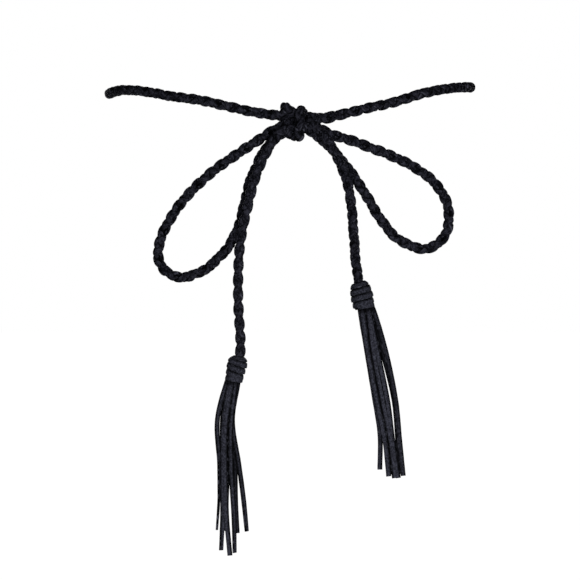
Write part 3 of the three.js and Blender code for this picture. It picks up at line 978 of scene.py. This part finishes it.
# Across, in lace widths, at the five places down; length as a share; layer, 0 in front; turned a
# quarter down, at the middle and at the tip, in degrees
LACES = {
    "left": [
        (-1.44, -3.44, -3.05, -3.10, -3.55, 0.853, 0.45, 15, 55, 88),
        (-0.78, -2.12, -2.30, -2.28, -2.61, 0.970, 0.20, 0, 5, 50),
        (-1.07, -2.33, -2.20, -2.04, -1.77, 0.860, 1.10, 0, 0, 30),
        (-0.12, -1.57, -1.66, -1.40, -0.69, 1.000, 0.00, 0, 0, 0),
        (0.60, -0.45, -0.34, 0.15, 0.34, 0.985, 0.25, 10, 5, 55),
        (0.20, -0.89, -1.15, -1.50, -1.51, 0.860, 1.20, 0, 0, 40),
        (0.76, -0.28, 0.38, 0.52, 0.87, 0.873, 0.90, 10, 10, 20),
        (1.05, -0.15, 1.25, 2.25, 2.98, 0.862, 0.60, 15, 5, 50),
    ],
    "right": [
        (-0.95, 0.46, 2.18, 3.39, 3.37, 0.926, 0.70, 10, 10, 0),
        (-0.42, 0.77, 2.79, 4.44, 5.28, 0.964, 0.10, 0, 5, 10),
        (0.10, 1.30, 3.39, 5.04, 6.10, 0.955, 1.20, 0, 0, 0),
        (0.59, 1.80, 3.89, 5.52, 6.53, 0.974, 0.00, 0, 0, 10),
        (0.80, 2.35, 4.51, 5.75, 7.00, 0.960, 1.10, 0, 0, 0),
        (1.01, 2.90, 5.12, 6.17, 7.39, 0.974, 0.35, 5, 5, 0),
        (1.55, 3.93, 6.50, 7.26, 7.80, 0.955, 1.20, 0, 10, 0),
        (2.00, 4.68, 6.88, 7.69, 8.49, 0.962, 0.65, 10, 20, 5),
    ],
}
# How dark the painted shade along the left and right edges of a lace is, as the shade of the grooves
# between laces, by its row in the table, and 1 if not told. Laces that lie flush have nearly no line
# between them, and above 1 the painted shade reaches farther in
EDGES_PAINTED_SHADE = {
    "left": {1: (1, 0.15), 3: (0.15, 2), 4: (1, 1.8)},
    "right": {0: (0.3, 1), 1: (0.3, 1), 3: (2.2, 0.15), 5: (0.15, 1.8), 7: (0.5, 1)},
}
INSIDE_WRAP = (0.012, 0.006)
BUNCHED_ACROSS = 0.7
BUNCHED_DEEP = 0.8
LACE_SPACING = 0.0012
HANGING_WIDTH = 0.0033
HANGING_CUT = {"Curl": 15.0, "Tilt": math.radians(10), "Unevenness": 0.12, "Seed": 40.0}
# Painted shade on the laces behind, less towards the tips, and a painted shadow just below the head
BEHIND_SHADE = 0.85
FRONT_LAYERS = 0.3
LESS_AT_TIP = 0.4
BELOW_WRAP_SHADE = 0.85
BELOW_WRAP_REACH = 0.034


def hanging_laces(side):
    top, right, back, up = head_axes(side)
    across = TASSELS[side]["across"]
    below = CLEARANCE + across / 2 * abs(math.sin(TASSELS[side]["lean"]))
    foot = top - up * (WRAP_LONG + below)
    lines, facings, numbers, shades = [], [], [], []
    for number, row in enumerate(LACES[side]):
        *sideways, long, layer, turned_quarter, turned_middle, turned_tip = row
        deep = (layer - 0.5) * LAYER_DEPTH
        at_foot = sideways[0] * LACE_WIDTH
        bunched = right * at_foot * BUNCHED_ACROSS + back * deep * BUNCHED_DEEP
        points = [foot + up * high + bunched for high in INSIDE_WRAP]
        for over, down in zip(sideways, PLACES_DOWN):
            points.append(foot + np.array([over * LACE_WIDTH, deep, -down * long * FRINGE_LONG]))
        line = evenly(smooth_line(points), LACE_SPACING)
        down = (foot[2] - line[:, 2]) / (long * FRINGE_LONG)
        turned = np.radians(np.interp(down, TURNS_DOWN, (0, turned_quarter, turned_middle, turned_tip)))
        # Painted shade: back layers darker, less so near the tip, and a painted shadow of the head at the
        # top
        far_back = smooth((layer - FRONT_LAYERS) / (1 - FRONT_LAYERS))
        behind = BEHIND_SHADE * far_back * (1 - LESS_AT_TIP * smooth(down))
        below_wrap = BELOW_WRAP_SHADE * smooth(1 - down / BELOW_WRAP_REACH)
        edges = np.tile(EDGES_PAINTED_SHADE[side].get(number, (1, 1)), (len(line), 1))
        lines.append(line)
        facings.append(np.outer(np.sin(turned), right) - np.outer(np.cos(turned), back))
        numbers.append(np.full(len(line), number))
        shades.append(np.column_stack([np.maximum(behind, below_wrap), edges]))
    mesh = line_mesh("hanging_lines", lines, **{
        FACING_ATTRIBUTE: np.vstack(facings), NUMBER_ATTRIBUTE: np.concatenate(numbers),
        SHADE_ATTRIBUTE: np.vstack(shades),
    })
    return grow(
        f"tassel_fringe_{side}_laces", flat_laces, mesh,
        Lace_Width=HANGING_WIDTH, Lace_Thickness=LACE_THICK, Material=finishes["lace_suede"], **HANGING_CUT,
    )


fringes = {side: hanging_laces(side) for side in TASSELS}

# %% [markdown]
# ## The frame's solids make way
#
# The looks are done. What is left is to hide the plain solid that each piece takes the place of, to
# put everything on the belt's one body, and to print how long each stretch of rope really is.

# %% Pieces on the body, and the length of each stretch
PATH_STEP = 0.005

dressed = {
    **ropes,
    "bow_knot": knot,
    **{f"tassel_wrap_{side}": piece for side, piece in wraps.items()},
    **{f"tassel_fringe_{side}": piece for side, piece in fringes.items()},
}
for node, piece in dressed.items():
    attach(piece, "root")
    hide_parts(node)

ON_THE_ROPE = {
    "waist_rope": [knot],
    "tail_left": [wraps["left"], fringes["left"]],
    "tail_right": [wraps["right"], fringes["right"]],
}
for name, start, end in stretches:
    if name in ropes:
        places = np.linspace(start, end, round((end - start) / PATH_STEP) + 1)
        path = np.column_stack([np.interp(places, rope_places, rope_line[:, k]) for k in range(3)])
        if name == "tail_left":
            path = path[::-1]
        ON_THE_ROPE.get(name, ())
        print(name, "is", round(end - start, 3), "m of rope")

# %% [markdown]
# ## Floor and light
#
# A dark thing with no gloss shows its shape only where light falls on it from one side more than
# from the other. The white room gives only a weak soft fill. A large lamp low on the right in front
# gives the shape, so the undersides are a little lighter than the tops. A weaker one on the left
# keeps the far sides from going black, and two more stand behind, so the back can be looked at too.
# The floor is a metre below, as it is below a real waist. To the camera the floor and the room are
# plain white. What they send to the belt is far less, or its hollows would be washed out.

# %% The studio
FLOOR_BELOW = 1.05
FLOOR_HALF = 40
FLOOR_CORNERS = ((-1, -1), (1, -1), (1, 1), (-1, 1))
FLOOR_GREY = 0.5
ROOM_LIGHT = 0.05
ROOM_WHITE = 1.0

floor_mesh = bpy.data.meshes.new("floor")
floor_corners = [(x * FLOOR_HALF, y * FLOOR_HALF, -FLOOR_BELOW) for x, y in FLOOR_CORNERS]
floor_mesh.from_pydata(floor_corners, [], [(0, 1, 2, 3)])
floor = bpy.data.objects.new("floor", floor_mesh)
scene.collection.objects.link(floor)

pale = bpy.data.materials.new("pale_floor")
pale.use_nodes = True
floor_sheet = Sheet(pale.node_tree)
floor_shader = pale.node_tree.nodes["Principled BSDF"]
seen = floor_sheet.get("ShaderNodeLightPath", output="Is Camera Ray")
floor_shader.inputs["Base Color"].default_value = (FLOOR_GREY, FLOOR_GREY, FLOOR_GREY, OPAQUE)
floor_shader.inputs["Roughness"].default_value = 1.0
floor_shader.inputs["Emission Color"].default_value = (1, 1, 1, OPAQUE)
pale.node_tree.links.new((seen * ROOM_WHITE).socket, floor_shader.inputs["Emission Strength"])
floor_mesh.materials.append(pale)

world = bpy.data.worlds.new("bright_room")
world.use_nodes = True
world_sheet = Sheet(world.node_tree)
seen = world_sheet.get("ShaderNodeLightPath", output="Is Camera Ray")
brightness = seen * (ROOM_WHITE - ROOM_LIGHT) + ROOM_LIGHT
world.node_tree.links.new(brightness.socket, world.node_tree.nodes["Background"].inputs["Strength"])
world.node_tree.nodes["Background"].inputs["Color"].default_value = (1, 1, 1, OPAQUE)
scene.world = world
scene.view_settings.view_transform = "Standard"

LAMP_SIZE = 0.7
LAMPS = {
    "window": {"place": (0.6, -1.8, -0.6), "watts": 32},
    "fill": {"place": (-0.7, -1.9, 0.3), "watts": 12},
    "behind_left": {"place": (-0.8, 1.8, 0.2), "watts": 34},
    "behind_right": {"place": (0.8, 1.8, 0.2), "watts": 34},
}
for name, lamp in LAMPS.items():
    light = bpy.data.lights.new(name, "AREA")
    light.size = LAMP_SIZE
    light.energy = lamp["watts"]
    holder = bpy.data.objects.new(name, light)
    holder.location = lamp["place"]
    aim = np.array([0, 0, CAMERA_PLACE[2]]) - np.array(lamp["place"])
    from_z = math.atan2(math.hypot(aim[0], aim[1]), -aim[2])
    holder.rotation_euler = (from_z, 0, math.atan2(aim[1], aim[0]) - math.pi / 2)
    scene.collection.objects.link(holder)
print("lamps:", ", ".join(LAMPS))
